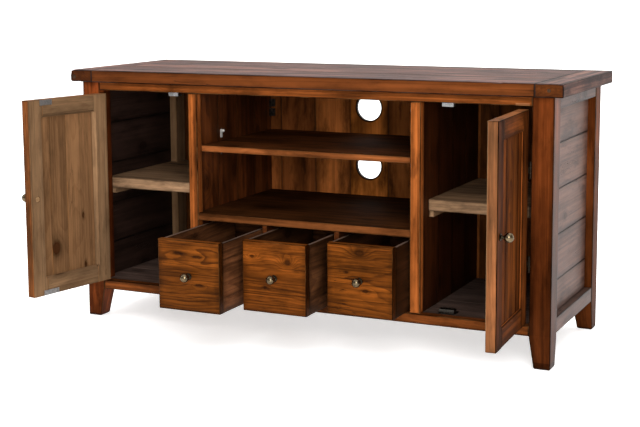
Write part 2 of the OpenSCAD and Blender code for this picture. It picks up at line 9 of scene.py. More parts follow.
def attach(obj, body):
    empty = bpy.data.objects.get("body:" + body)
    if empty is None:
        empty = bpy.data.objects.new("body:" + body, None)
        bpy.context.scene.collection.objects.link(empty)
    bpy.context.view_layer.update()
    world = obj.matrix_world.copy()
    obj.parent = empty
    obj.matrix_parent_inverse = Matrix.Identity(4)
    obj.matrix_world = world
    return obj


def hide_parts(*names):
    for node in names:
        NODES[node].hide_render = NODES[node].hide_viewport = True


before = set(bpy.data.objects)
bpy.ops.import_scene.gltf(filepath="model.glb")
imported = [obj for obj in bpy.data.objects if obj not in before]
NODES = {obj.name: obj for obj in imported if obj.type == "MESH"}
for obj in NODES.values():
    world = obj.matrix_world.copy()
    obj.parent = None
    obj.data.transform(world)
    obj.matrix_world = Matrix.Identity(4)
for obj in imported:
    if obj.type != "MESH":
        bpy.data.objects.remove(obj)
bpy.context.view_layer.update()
scene = bpy.context.scene

# ---------------------------------------------------------------- camera
F_PX, SENSOR = 1326.977, 36.0
yaw, pitch, roll = -0.44335, -0.13478, -0.00541
fwd = Vector((math.sin(yaw) * math.cos(pitch), math.cos(yaw) * math.cos(pitch), math.sin(pitch)))
side = Vector((math.cos(yaw), -math.sin(yaw), 0.0))
up = side.cross(fwd)
right_v = math.cos(roll) * side + math.sin(roll) * up
up_v = -math.sin(roll) * side + math.cos(roll) * up
cam_data = bpy.data.cameras.new("camera")
cam = bpy.data.objects.new("camera", cam_data)
scene.collection.objects.link(cam)
cam.matrix_world = Matrix(
    (
        (right_v.x, up_v.x, -fwd.x, 1.5118028),
        (right_v.y, up_v.y, -fwd.y, -3.2888673),
        (right_v.z, up_v.z, -fwd.z, 0.9508754),
        (0, 0, 0, 1),
    )
)
cam_data.sensor_fit = "HORIZONTAL"
cam_data.sensor_width = SENSOR
cam_data.lens = F_PX * SENSOR / 640.0
cam_data.shift_y = -(213.5 - 157.24) / 640.0  # the optical axis is above the middle of the picture
cam_data.clip_start, cam_data.clip_end = 0.05, 100.0
scene.camera = cam


# ---------------------------------------------------------------- node helpers
class Tree:
    """Short names for the shader nodes that the materials use."""

    def __init__(self, name):
        self.mat = bpy.data.materials.new(name)
        self.mat.use_nodes = True
        self.t = self.mat.node_tree
        self.t.nodes.clear()
        self.out = self.t.nodes.new("ShaderNodeOutputMaterial")
        self.bsdf = self.t.nodes.new("ShaderNodeBsdfPrincipled")
        self.t.links.new(self.bsdf.outputs[0], self.out.inputs[0])

    def put(self, socket, value):
        if isinstance(value, bpy.types.NodeSocket):
            self.t.links.new(value, socket)
        elif value is not None:
            if socket.type == "RGBA" and len(value) == 3:
                value = (*value, 1.0)
            socket.default_value = value

    def m(self, op, a, b=None, c=None, clamp=False):
        n = self.t.nodes.new("ShaderNodeMath")
        n.operation, n.use_clamp = op, clamp
        for i, v in enumerate((a, b, c)):
            if v is not None:
                self.put(n.inputs[i], v)
        return n.outputs[0]

    def add(self, a, b):
        return self.m("ADD", a, b)

    def sub(self, a, b):
        return self.m("SUBTRACT", a, b)

    def mul(self, a, b):
        return self.m("MULTIPLY", a, b)

    def div(self, a, b):
        return self.m("DIVIDE", a, b)

    def mad(self, a, b, c):
        return self.m("MULTIPLY_ADD", a, b, c)

    def frac(self, a):
        return self.m("FRACT", a)

    def step(self, a, lo, hi, to_lo=0.0, to_hi=1.0):
        """A smooth step of a from to_lo at lo to to_hi at hi."""
        n = self.t.nodes.new("ShaderNodeMapRange")
        n.interpolation_type = "SMOOTHSTEP"
        for i, v in enumerate((a, lo, hi, to_lo, to_hi)):
            self.put(n.inputs[i], v)
        return n.outputs[0]

    def lin(self, a, lo, hi, to_lo=0.0, to_hi=1.0):
        n = self.t.nodes.new("ShaderNodeMapRange")
        n.clamp = True
        for i, v in enumerate((a, lo, hi, to_lo, to_hi)):
            self.put(n.inputs[i], v)
        return n.outputs[0]

    def xyz(self, x, y, z):
        n = self.t.nodes.new("ShaderNodeCombineXYZ")
        for i, v in enumerate((x, y, z)):
            self.put(n.inputs[i], v)
        return n.outputs[0]

    def split(self, v):
        n = self.t.nodes.new("ShaderNodeSeparateXYZ")
        self.put(n.inputs[0], v)
        return n.outputs[0], n.outputs[1], n.outputs[2]

    def attr(self, name, vector=False):
        n = self.t.nodes.new("ShaderNodeAttribute")
        n.attribute_name = name
        return n.outputs["Vector"] if vector else n.outputs["Fac"]

    def noise(self, v, detail=2.0, rough=0.5, dist=0.0, dims="3D"):
        n = self.t.nodes.new("ShaderNodeTexNoise")
        n.noise_dimensions = dims
        self.put(n.inputs["Vector"], v)
        n.inputs["Scale"].default_value = 1.0
        n.inputs["Detail"].default_value = detail
        n.inputs["Roughness"].default_value = rough
        n.inputs["Distortion"].default_value = dist
        return n.outputs["Fac"]

    def white(self, w):
        n = self.t.nodes.new("ShaderNodeTexWhiteNoise")
        n.noise_dimensions = "1D"
        self.put(n.inputs["W"], w)
        return n.outputs["Value"]

    def voronoi(self, v, dims="2D"):
        n = self.t.nodes.new("ShaderNodeTexVoronoi")
        n.voronoi_dimensions = dims
        n.inputs["Scale"].default_value = 1.0
        n.inputs["Randomness"].default_value = 0.85
        self.put(n.inputs["Vector"], v)
        return n.outputs["Distance"], n.outputs["Color"], n.outputs["Position"]

    def mix(self, f, a, b, blend="MIX"):
        n = self.t.nodes.new("ShaderNodeMix")
        n.data_type, n.blend_type, n.clamp_factor = "RGBA", blend, True
        self.put(n.inputs[0], f)
        self.put(n.inputs[6], a)
        self.put(n.inputs[7], b)
        return n.outputs[2]

    def fmix(self, f, a, b):
        n = self.t.nodes.new("ShaderNodeMix")
        n.data_type = "FLOAT"
        self.put(n.inputs[0], f)
        self.put(n.inputs[2], a)
        self.put(n.inputs[3], b)
        return n.outputs[0]

    def scale(self, colour, f):
        """A colour times a number."""
        n = self.t.nodes.new("ShaderNodeVectorMath")
        n.operation = "SCALE"
        self.put(n.inputs[0], colour)
        self.put(n.inputs["Scale"], f)
        return n.outputs[0]

    def ramp(self, f, stops, easing="LINEAR"):
        n = self.t.nodes.new("ShaderNodeValToRGB")
        n.color_ramp.interpolation = easing
        e = n.color_ramp.elements
        while len(e) < len(stops):
            e.new(0.5)
        for el, (p, c) in zip(e, stops):
            el.position = p
            el.color = (c, c, c, 1) if isinstance(c, (int, float)) else (*c, 1)
        self.put(n.inputs[0], f)
        return n.outputs[0]

    def bump(self, height, strength, distance):
        n = self.t.nodes.new("ShaderNodeBump")
        n.inputs["Strength"].default_value = strength
        n.inputs["Distance"].default_value = distance
        self.put(n.inputs["Height"], height)
        self.put(self.bsdf.inputs["Normal"], n.outputs[0])


# ---------------------------------------------------------------- wood
def wood(
    name,
    light,
    dark,
    worn,
    ring=0.0075,
    ring_mix=0.75,
    figure=1.0,
    streak=1.0,
    knots=0.45,
    knot_size=1.0,
    rough=0.38,
    rough_var=0.10,
    edge=1.0,
    cracks=1.0,
    bump=0.5,
    raw=None,
    hue=None,
    specular=0.25,
    tint=(1.0, 0.50, 0.22),
    raw_rough=0.66,
    spots=1.0,
    blotch=0.7,
    grime=1.0,
    dirt_and_shade_strength=0.85,
    lines=0.0,
    line_gap=0.0048,
    raw_dirt_and_shade=0.28,
    spread=(0.84, 1.14),
    placed=(),
    ports=(),
):
    """Sawn pine, seen as boards cut from a log: growth rings round a pith line that wanders along
    the board, knots that push the rings aside, fibres, stain that lies unevenly, wear at the edges, and
    edges darkened by dirt and by painted shade of the gaps and rounded corners.
    Each board's own coordinates come with its mesh: wc along, across and through it from its middle,
    wh its half sizes, ws a number of its own, wr how far a face takes the raw colour (bare wood where it
    has no stain, the stained front on the top, a painted sheen on the doors' end faces, a painted
    highlight on the drawer sides' top edges), wd a factor on the colour: the part's own tone and, on most
    parts, painted light and shade for how the face is lit.
    placed lists further knots as (the board's number, along, across, radius, stretch along it, how far
    they push the rings), ports lists holes ringed with painted shade as (along, across, radius)."""
    g = Tree(name)
    u, v, w = g.split(g.attr("wc", True))
    hu, hv, hw = g.split(g.attr("wh", True))
    s = g.attr("ws")
    s1 = g.frac(g.mad(s, 13.7, 0.11))
    s2 = g.frac(g.mad(s, 37.9, 0.53))
    s3 = g.frac(g.mad(s, 71.3, 0.29))
    U = g.mad(s, 17.0, u)
    V = g.mad(s1, 5.0, v)
    W = g.mad(s2, 5.0, w)

    # knots: one place in each cell of a grid laid over the board, used where its own number says so
    ku, kv = 3.6, 7.5
    kd, kc, kp = g.voronoi(g.xyz(g.mul(U, ku), g.mul(V, kv), 0.0))
    kr, kg, kb = g.split(kc)
    pu, pv, _ = g.split(kp)
    du = g.mul(g.sub(U, g.div(pu, ku)), 0.62)
    dv = g.sub(V, g.div(pv, kv))
    kdist = g.m("SQRT", g.add(g.mul(du, du), g.mul(dv, dv)))
    there = g.step(kr, 1.0 - knots - 0.02, 1.0 - knots + 0.02)
    radius = g.mul(g.lin(kg, 0, 1, 0.0045 * knot_size, 0.0125 * knot_size), there)
    near = g.div(kdist, g.add(g.mul(radius, 2.6), 0.0001))
    push = g.mul(g.m("EXPONENT", g.mul(g.mul(near, near), -1.0)), there)
    swing = g.mul(push, g.lin(kg, 0, 1, 1.2, 3.4))
    own_knots = []
    for board, pu, pv, pr, stretch, pushed in placed:
        here = g.step(g.m("ABSOLUTE", g.sub(s, board)), 0.004, 0.002)
        qu, qv = g.mul(g.sub(u, pu), 1.0 / stretch), g.sub(v, pv)
        q = g.m("SQRT", g.add(g.mul(qu, qu), g.mul(qv, qv)))
        far = g.mul(q, 1.0 / (2.7 * pr))
        near_it = g.mul(g.m("EXPONENT", g.mul(g.mul(far, far), -1.0)), here)
        swing = g.add(g.mul(swing, g.sub(1.0, near_it)), g.mul(near_it, pushed))
        own_knots.append((q, pr, here))

    # rings
    n1 = g.noise(g.xyz(g.mul(U, 2.1 * figure), g.mul(V, 5.0), g.mul(W, 5.0)), 2.0)
    n2 = g.noise(g.xyz(g.mul(U, 3.0 * figure), g.mul(V, 6.0), g.mad(W, 5.0, 9.0)), 3.0)
    v0 = g.add(g.mul(g.sub(s1, 0.5), g.mul(hv, 1.2)), g.mul(g.sub(n1, 0.5), 0.05 * figure))
    w0 = g.add(
        g.mad(s2, -0.06, -0.035),
        g.add(g.mul(g.mul(g.sub(s3, 0.5), 0.14 * figure), u), g.mul(g.sub(n2, 0.5), 0.06 * figure)),
    )
    rv, rw = g.sub(v, v0), g.sub(w, w0)
    r = g.m("SQRT", g.add(g.mul(rv, rv), g.mul(rw, rw)))
    n3 = g.noise(g.xyz(g.mul(U, 7.0), g.mul(V, 60.0), g.mul(W, 60.0)), 3.0)
    phase = g.add(
        g.div(r, ring),
        g.add(g.mul(g.sub(n3, 0.5), 0.9), swing),
    )
    f = g.frac(phase)
    band = g.ramp(f, [(0.0, 0.0), (0.35, 0.12), (0.72, 0.62), (0.88, 1.0), (0.95, 0.92), (1.0, 0.0)])
    own = g.lin(g.white(g.m("FLOOR", phase)), 0, 1, 0.35, 1.0)
    ringmask = g.mul(band, own)

    # streaks, fibres and the uneven take-up of the stain
    st = g.noise(g.xyz(g.mul(U, 1.8), g.mul(V, 85.0), g.mul(W, 85.0)), 4.0, 0.6)
    st = g.step(st, 0.34, 0.68)
    fib = g.noise(g.xyz(g.mul(U, 14.0), g.mul(V, 900.0), g.mul(W, 900.0)), 2.0, 0.6)
    bl = g.noise(g.xyz(g.mul(U, 4.0), g.mul(V, 11.0), g.mul(W, 11.0)), 4.0, 0.62)
    bl = g.step(bl, 0.36, 0.66)

    c = g.mix(g.mul(ringmask, ring_mix), light, dark)
    if hue is not None:
        c = g.mix(g.mul(s3, 0.55), c, hue)
    c = g.scale(c, g.fmix(st, 1.0 + 0.16 * streak, 1.0 - 0.30 * streak))
    c = g.scale(c, g.lin(fib, 0.25, 0.75, 0.90, 1.09))
    c = g.scale(c, g.fmix(bl, 1.0 + 0.16 * blotch, 1.0 - 0.42 * blotch))
    c = g.scale(c, g.lin(s2, 0, 1, *spread))
    gr = g.noise(g.xyz(g.mul(U, 7.0), g.mul(V, 26.0), g.mul(W, 26.0)), 5.0, 0.68)
    gr = g.step(gr, 0.46, 0.72)
    c = g.scale(c, g.fmix(gr, 1.05, 1.0 - 0.55 * grime))
    if raw is not None:
        rc = g.mix(g.mul(ringmask, 0.38), raw[0], raw[1])
        rc = g.scale(rc, g.fmix(st, 1.07, 0.80))
        rc = g.scale(rc, g.lin(fib, 0.25, 0.75, 0.95, 1.05))
        rc = g.scale(rc, g.fmix(bl, 1.06, 0.76))
        rc = g.scale(rc, g.fmix(gr, 1.02, 1.0 - 0.30 * grime))
        rc = g.scale(rc, g.lin(s1, 0, 1, 0.88, 1.10))
        wr = g.attr("wr")
        c = g.mix(wr, c, rc)

    if lines:  # fine dark lines along the board
        ln = g.noise(g.xyz(g.mul(U, 1.3), g.mul(V, 1.0 / line_gap), g.mul(W, 1.0 / line_gap)), 3.0, 0.55)
        on_side = g.step(g.sub(hu, g.m("ABSOLUTE", u)), 0.0004, 0.0020)
        c = g.scale(c, g.sub(1.0, g.mul(g.mul(g.step(ln, 0.54, 0.66), on_side), 0.6 * lines)))

    # the knots themselves
    edge_n = g.noise(g.xyz(g.mul(U, 160.0), g.mul(V, 160.0), 0.0), 2.0)
    kk = g.add(kdist, g.mul(g.sub(edge_n, 0.5), 0.003))
    core = g.mul(g.step(kk, radius, g.mul(radius, 0.78)), there)
    rim = g.mul(
        g.mul(g.step(kk, g.mul(radius, 1.45), radius), g.step(kk, g.mul(radius, 0.6), g.mul(radius, 0.95))), there
    )
    krings = g.lin(g.m("SINE", g.mul(kk, 2600.0)), -1, 1, 0.75, 1.1)
    kcol = g.scale(g.mix(0.72, c, tuple(x * 0.60 for x in dark)), krings)
    halo = g.mul(g.mul(g.step(kdist, g.mul(radius, 3.2), g.mul(radius, 0.8)), there), 0.32)
    c = g.scale(c, g.sub(1.0, halo))
    c = g.mix(g.mul(core, 0.85), c, kcol)
    c = g.mix(g.mul(rim, 0.50), c, tuple(x * 0.25 for x in dark))
    for q, pr, here in own_knots:
        qq = g.add(q, g.mul(g.sub(edge_n, 0.5), 0.004))
        qcore = g.mul(g.step(qq, pr, pr * 0.75), here)
        qrim = g.mul(g.mul(g.step(qq, pr * 1.5, pr), g.step(qq, pr * 0.55, pr * 0.9)), here)
        halo = g.mul(g.mul(g.step(q, pr * 3.0, pr * 0.8), here), 0.35)
        c = g.scale(c, g.sub(1.0, halo))
        ring_of_it = g.lin(g.m("SINE", g.mul(qq, 2200.0)), -1, 1, 0.7, 1.1)
        c = g.mix(g.mul(qcore, 0.90), c, g.scale(g.mix(0.8, c, tuple(x * 0.55 for x in dark)), ring_of_it))
        c = g.mix(g.mul(qrim, 0.45), c, tuple(x * 0.25 for x in dark))

    # painted shade: a dark ring round each port stands for the shaded wall of its bore
    for pu, pv, pr in ports:
        qu, qv = g.sub(u, pu), g.sub(v, pv)
        q = g.m("SQRT", g.add(g.mul(qu, qu), g.mul(qv, qv)))
        c = g.scale(c, g.step(q, pr + 0.0025, pr + 0.0065, 0.06, 1.0))

    # drying cracks along the grain, and small nail holes and dents
    cr = g.noise(g.xyz(g.mul(U, 3.2), g.mul(V, 120.0), g.mul(W, 120.0)), 2.0)
    crack = g.step(g.m("ABSOLUTE", g.sub(cr, 0.5)), 0.010, 0.0)
    patch = g.step(g.noise(g.xyz(g.mul(U, 5.0), g.mul(V, 16.0), g.mad(W, 16.0, 4.0)), 1.0), 0.60, 0.68)
    crack = g.mul(g.mul(crack, patch), cracks)
    c = g.mix(g.mul(crack, 0.75), c, tuple(x * 0.14 for x in dark))
    dd, dc, _ = g.voronoi(g.xyz(g.mul(U, 13.0), g.mul(V, 13.0), g.mul(W, 13.0)), "3D")
    dr, dg, _ = g.split(dc)
    hole = g.mul(g.step(dd, g.lin(dg, 0, 1, 0.020, 0.042), 0.012), g.step(dr, 0.80, 0.82))
    hole = g.mul(hole, spots)
    c = g.mix(g.mul(hole, 0.85), c, tuple(x * 0.10 for x in dark))

    # edges: the second least distance to the board's faces is the distance to its nearest edge
    a = g.sub(hu, g.m("ABSOLUTE", u))
    b = g.sub(hv, g.m("ABSOLUTE", v))
    d = g.sub(hw, g.m("ABSOLUTE", w))
    e = g.m("MAXIMUM", g.m("MINIMUM", a, b), g.m("MINIMUM", g.m("MAXIMUM", a, b), d))
    en = g.noise(g.xyz(g.mul(U, 42.0), g.mul(V, 42.0), g.mul(W, 42.0)), 3.0, 0.6)
    # darker along the edges: dirt, and painted shade of the gaps between parts and of the rounded corners
    thin = g.mul(g.step(g.add(e, g.mul(g.sub(en, 0.5), 0.0015)), 0.0042, 0.0010), dirt_and_shade_strength * edge)
    wide = g.mul(g.step(g.add(e, g.mul(g.sub(en, 0.5), 0.007)), 0.020, 0.002), 0.34 * edge)
    dirt_and_shade = g.m("MAXIMUM", thin, wide)
    if raw is not None:
        dirt_and_shade = g.mul(dirt_and_shade, g.mad(g.attr("wr"), raw_dirt_and_shade - 1.0, 1.0))
    c = g.scale(c, g.sub(1.0, dirt_and_shade))
    wn = g.noise(g.xyz(g.mul(U, 11.0), g.mul(V, 11.0), g.mul(W, 11.0)), 3.0, 0.65)
    rub = g.mul(
        g.step(g.add(e, g.mul(g.sub(en, 0.5), 0.0026)), 0.0026, 0.0006), g.step(wn, 0.42, 0.60)
    )
    rub = g.mul(rub, 0.24 * edge)
    c = g.mix(rub, c, worn)

    c = g.scale(c, g.attr("wd"))
    g.put(g.bsdf.inputs["Base Color"], c)

    rr = g.add(
        rough - rough_var * 0.5,
        g.add(g.mul(g.sub(1.0, ringmask), rough_var * 0.5), g.mul(fib, rough_var)),
    )
    rr = g.add(rr, g.mul(g.add(rub, crack), 0.15))
    if raw is not None:
        rr = g.fmix(wr, rr, raw_rough)
    g.put(g.bsdf.inputs["Roughness"], g.m("MINIMUM", g.m("MAXIMUM", rr, 0.12), 0.95))
    g.bsdf.inputs["Specular IOR Level"].default_value = specular
    g.bsdf.inputs["Specular Tint"].default_value = (*tint, 1.0)
    h = g.add(g.mul(fib, 0.30), g.mul(g.sub(1.0, ringmask), 0.22))
    h = g.add(h, g.mul(st, -0.14))
    h = g.sub(h, g.add(g.mul(crack, 1.6), g.mul(hole, 1.4)))
    h = g.sub(h, g.mul(rim, 0.5))
    g.bump(h, bump, 0.0007)
    return g.mat


STAIN_RAW = ((0.205, 0.116, 0.058), (0.118, 0.058, 0.026))
STAIN_FRONT = ((0.160, 0.043, 0.0095), (0.042, 0.010, 0.0025))
M = {}
M["stain"] = wood(
    "stained_pine", (0.31, 0.086, 0.0175), (0.066, 0.015, 0.003), (0.40, 0.17, 0.055),
    hue=(0.23, 0.056, 0.012), raw=STAIN_RAW, rough=0.34, specular=0.07, ring_mix=0.55,
    figure=0.7, streak=1.5, lines=0.45, blotch=0.9, dirt_and_shade_strength=0.95,
)
M["leg"] = wood(
    "stained_pine_leg", (0.31, 0.0715, 0.0157), (0.080, 0.0156, 0.0034), (0.38, 0.16, 0.055),
    hue=(0.24, 0.047, 0.0103), raw=STAIN_RAW, rough=0.36, specular=0.044, ring_mix=0.35, knots=0.3,
    figure=0.5, streak=1.2, lines=0.3, blotch=1.1, dirt_and_shade_strength=0.95,
)
M["leg_rear"] = wood(
    "stained_pine_rear_leg", (0.31, 0.082, 0.0185), (0.080, 0.0165, 0.0036), (0.38, 0.16, 0.055),
    hue=(0.24, 0.052, 0.0115), raw=STAIN_RAW, rough=0.46, specular=0.020, ring_mix=0.35, knots=0.3,
    figure=0.5, streak=1.2, lines=0.3, blotch=1.1, dirt_and_shade_strength=0.95,
)
M["door"] = wood(
    "stained_pine_door", (0.31, 0.086, 0.0175), (0.066, 0.015, 0.003), (0.40, 0.17, 0.055),
    hue=(0.23, 0.056, 0.012), raw=STAIN_RAW, rough=0.55, specular=0.012, ring_mix=0.55,
    figure=0.7, streak=1.5, lines=0.45, blotch=1.1, dirt_and_shade_strength=0.95,
)
M["plank"] = wood(
    "door_plank_pine", (0.36, 0.096, 0.014), (0.050, 0.010, 0.0015), (0.42, 0.17, 0.05),
    hue=(0.26, 0.056, 0.009), raw=((0.185, 0.092, 0.040), (0.090, 0.038, 0.014)), rough=0.60, specular=0.010,
    lines=0.4, streak=1.3, knots=0.12, raw_dirt_and_shade=0.12,
    placed=(
        (0.29, -0.144, 0.0151, 0.0145, 1.3, 1.6),
        (0.13, -0.067, -0.0031, 0.0036, 2.0, 1.0),
        (0.13, -0.205, -0.0079, 0.0040, 1.7, 1.0),
    ),
)
M["drawer"] = wood(
    "figured_pine", (0.225, 0.060, 0.0070), (0.016, 0.0036, 0.0008), (0.33, 0.12, 0.03),
    ring=0.0076, ring_mix=0.86, figure=1.05, knots=0.10, knot_size=0.7, rough=0.36, cracks=1.8, blotch=1.2,
    hue=(0.15, 0.036, 0.0045), specular=0.08, streak=1.25, lines=1.0, line_gap=0.0036, grime=1.0, dirt_and_shade_strength=0.95,
    placed=(
        (0.21, -0.030, 0.058, 0.0036, 3.6, 0.7),
        (0.21, 0.026, 0.052, 0.0032, 4.2, 0.7),
        (0.21, 0.030, -0.020, 0.0024, 4.0, 2.2),
        (0.47, 0.038, 0.044, 0.0060, 1.3, 4.2),
        (0.47, -0.062, 0.052, 0.0030, 2.2, 3.0),
        (0.47, -0.026, -0.026, 0.0030, 1.6, 0.9),
        (0.83, 0.016, -0.024, 0.0040, 2.0, 1.0),
        (0.83, -0.036, 0.020, 0.0024, 1.8, 0.6),
    ),
)
# painted sheen: the top is greyed and lightened for the reflection it shows, besides weathered wood
M["top"] = wood(
    "weathered_pine_top", (0.188, 0.083, 0.058), (0.034, 0.012, 0.008), (0.26, 0.16, 0.12),
    hue=(0.120, 0.056, 0.043), rough=0.55, ring_mix=0.6, streak=2.2, specular=0.043, lines=1.0, line_gap=0.011,
    figure=0.6, cracks=2.0, bump=0.9, tint=(1.0, 0.85, 0.80), blotch=1.1, grime=1.2, dirt_and_shade_strength=1.0,
    raw=STAIN_FRONT, raw_rough=0.42, raw_dirt_and_shade=1.0,
)
# painted sheen: the sides are greyed for the reflection they show, besides weathered wood
M["side"] = wood(
    "weathered_pine_side", (0.150, 0.078, 0.056), (0.050, 0.020, 0.013), (0.24, 0.14, 0.10),
    hue=(0.115, 0.058, 0.044), rough=0.46, ring_mix=0.5, streak=0.8, specular=0.11, tint=(1.0, 0.85, 0.78),
    lines=0.4, line_gap=0.008, figure=0.7, blotch=0.6, dirt_and_shade_strength=1.0, cracks=1.6,
)
M["dark"] = wood(
    "dark_pine", (0.175, 0.046, 0.011), (0.045, 0.011, 0.003), (0.22, 0.080, 0.026),
    hue=(0.12, 0.028, 0.008), rough=0.44, knots=0.5, edge=0.7, specular=0.12, blotch=1.2, streak=1.4,
)
M["floor"] = wood(
    "worn_floor_pine", (0.105, 0.068, 0.054), (0.034, 0.019, 0.014), (0.20, 0.14, 0.11),
    hue=(0.085, 0.052, 0.041), rough=0.55, specular=0.12, edge=0.7, tint=(1.0, 0.9, 0.8), lines=0.6,
)
M["box"] = wood(
    "drawer_side_pine", (0.165, 0.064, 0.0245), (0.040, 0.012, 0.005), (0.22, 0.09, 0.035),
    hue=(0.12, 0.038, 0.014), rough=0.48, knots=0.45, specular=0.12, raw=((0.155, 0.100, 0.076), (0.075, 0.045, 0.032)),
    raw_dirt_and_shade=0.6, streak=1.6, blotch=1.3, lines=0.5,
)
# painted light: both back colours are lighter than the wood, for light reaching deep into the bays; the ported plank's
# the lighter
M["back"] = wood(
    "warm_dark_pine", (0.42, 0.128, 0.022), (0.120, 0.028, 0.006), (0.36, 0.14, 0.045),
    hue=(0.18, 0.045, 0.014), rough=0.46, knots=0.45, edge=0.9, specular=0.10, ring_mix=0.35, streak=0.55,
    cracks=0.3, figure=0.6, blotch=1.5, grime=1.3, spread=(0.66, 1.26),
    ports=((0.2035, 0.0, 0.038), (0.0335, 0.0, 0.038)),
)
M["back_plain"] = wood(
    "dark_back_pine", (0.36, 0.112, 0.024), (0.110, 0.026, 0.006), (0.36, 0.14, 0.045),
    hue=(0.17, 0.043, 0.014), rough=0.46, knots=0.45, edge=0.9, specular=0.10, ring_mix=0.35, streak=0.55,
    cracks=0.3, figure=0.6, blotch=1.5, grime=1.3, spread=(0.60, 1.36),
)
M["shelf"] = wood(
    "shelf_pine", (0.215, 0.071, 0.0205), (0.050, 0.012, 0.003), (0.34, 0.15, 0.05),
    hue=(0.18, 0.050, 0.013), rough=0.72, specular=0.03, ring_mix=0.5, figure=0.7, streak=1.4, lines=0.5, blotch=1.1, edge=0.55,
)
M["raw"] = wood(
    "unfinished_pine", (0.32, 0.185, 0.095), (0.185, 0.092, 0.042), (0.38, 0.23, 0.13),
    hue=(0.26, 0.155, 0.088), rough=0.64, ring_mix=0.6, streak=0.9, edge=0.5, bump=0.45, blotch=0.6,
    tint=(1.0, 0.9, 0.8), lines=0.35, dirt_and_shade_strength=0.9, specular=0.08,
)


# ---------------------------------------------------------------- metals
def metal(name, base, stain, rough, rough_hi, scale, amount, metallic=1.0, brushed=False, low=None, balls=(), tint=1.0):
    g = Tree(name)
    n = g.t.nodes.new("ShaderNodeTexCoord").outputs["Object"]
    x, y, z = g.split(n)
    p = g.xyz(g.mul(x, scale), g.mul(y, scale), g.mul(z, scale))
    patina = g.step(g.noise(p, 4.0, 0.62), 0.40, 0.64)
    if brushed:
        q = g.xyz(g.mul(x, scale * 9), g.mul(y, scale * 9), g.mul(z, scale * 0.6))
    else:
        q = g.xyz(g.mul(x, scale * 6), g.mul(y, scale * 6), g.mul(z, scale * 6))
    fine = g.noise(q, 3.0, 0.6)
    c = g.mix(g.mul(patina, amount), base, stain)
    c = g.scale(c, g.lin(fine, 0.3, 0.7, 0.88, 1.08))
    if low is not None:  # below this height the metal is darker: black plastic on the floor catch, painted shade on the shelf pins under the shelf
        c = g.mix(g.step(z, low[0] + 0.001, low[0] - 0.001), c, low[1])
    if balls:  # a knob's ball is rubbed bright, its neck is dark, and the screw behind the wood is pale
        far = None
        for at in balls:
            node = g.t.nodes.new("ShaderNodeVectorMath")
            node.operation = "DISTANCE"
            g.put(node.inputs[0], n)
            g.put(node.inputs[1], at)
            d = node.outputs["Value"]
            far = d if far is None else g.m("MINIMUM", far, d)
        c = g.scale(c, g.step(far, 0.0116, 0.0124, 1.0, 0.16))
        c = g.mix(g.step(far, 0.038, 0.040), c, (0.30, 0.175, 0.085))
    g.put(g.bsdf.inputs["Base Color"], c)
    g.bsdf.inputs["Specular Tint"].default_value = (tint, tint, tint, 1.0)
    g.bsdf.inputs["Metallic"].default_value = metallic
    if balls:
        g.put(g.bsdf.inputs["Metallic"], g.step(far, 0.038, 0.040, metallic, 0.2))
    g.put(g.bsdf.inputs["Roughness"], g.add(g.mul(patina, rough_hi - rough), g.mad(fine, 0.10, rough - 0.05)))
    g.bump(g.add(g.mul(fine, 0.6), g.mul(patina, -0.4)), 0.25, 0.0003)
    return g.mat


def door_closed(sign, degrees):
    """Takes a door from where it stands open back to closed."""
    at = Vector((sign * 0.61825, -0.2338, 0.0))
    turn = Matrix.Rotation(math.radians(-sign * degrees), 4, "Z")
    return Matrix.Translation(at) @ turn @ Matrix.Translation(-at)


LEFT, RIGHT = door_closed(-1, 101.0), door_closed(1, 93.0)
KNOBS = [
    tuple(LEFT.inverted() @ Vector((-0.3585, -0.249, 0.37525))),
    tuple(RIGHT.inverted() @ Vector((0.3585, -0.249, 0.37525))),
    (-0.209, -0.468, 0.1985),
    (0.0, -0.400, 0.1985),
    (0.209, -0.341, 0.1985),
]
M["brass"] = metal(
    "antique_brass", (0.165, 0.122, 0.070), (0.050, 0.036, 0.022), 0.17, 0.30, 160.0, 0.70, balls=KNOBS, tint=0.6
)
M["hinge"] = metal("hinge_brass", (0.024, 0.017, 0.011), (0.008, 0.006, 0.005), 0.50, 0.65, 160.0, 0.80, tint=0.15)
M["iron"] = metal("dark_iron", (0.075, 0.062, 0.052), (0.020, 0.017, 0.015), 0.34, 0.55, 140.0, 0.8)

# painted shade: the shelf pins under the shelf are dark
M["pin"] = metal(
    "pin_nickel", (0.86, 0.84, 0.80), (0.55, 0.53, 0.50), 0.26, 0.40, 120.0, 0.45, metallic=0.4,
    low=(0.484, (0.035, 0.030, 0.026)),
)
M["strike"] = metal(
    "strike_steel", (0.34, 0.33, 0.32), (0.17, 0.16, 0.15), 0.46, 0.58, 120.0, 0.55, brushed=True
)
M["catch"] = metal(
    "catch_nickel", (0.42, 0.42, 0.42), (0.20, 0.19, 0.18), 0.24, 0.42, 120.0, 0.55, brushed=True,
    low=(0.30, (0.045, 0.040, 0.034)),
)


# ---------------------------------------------------------------- worn boards
def hash01(text, i=0):
    n = 2166136261
    for ch in f"{text}/{i}":
        n = ((n ^ ord(ch)) * 16777619) & 0xFFFFFFFF
    n ^= n >> 15
    n = (n * 2246822519) & 0xFFFFFFFF
    n ^= n >> 13
    return (n & 0xFFFFFF) / float(0x1000000)


AXES = {"x": (0, 1, 2), "y": (1, 0, 2), "z": (2, 0, 1)}


def cut(bm, axis, places):
    """Slices every face at these places along an axis, so that the surface has points to move."""
    normal = [0.0, 0.0, 0.0]
    normal[axis] = 1.0
    geom = bm.verts[:] + bm.edges[:] + bm.faces[:]
    for c in sorted(places):
        co = [0.0, 0.0, 0.0]
        co[axis] = c
        got = bmesh.ops.bisect_plane(bm, geom=geom, dist=2e-6, plane_co=co, plane_no=normal)["geom"]
        faces = [
            x for x in got if isinstance(x, bmesh.types.BMFace) and max(p.co[axis] for p in x.verts) > c + 3e-6
        ]
        if not faces:
            break
        edges = {e for x in faces for e in x.edges}
        verts = {p for x in faces for p in x.verts}
        geom = list(verts) + list(edges) + faces


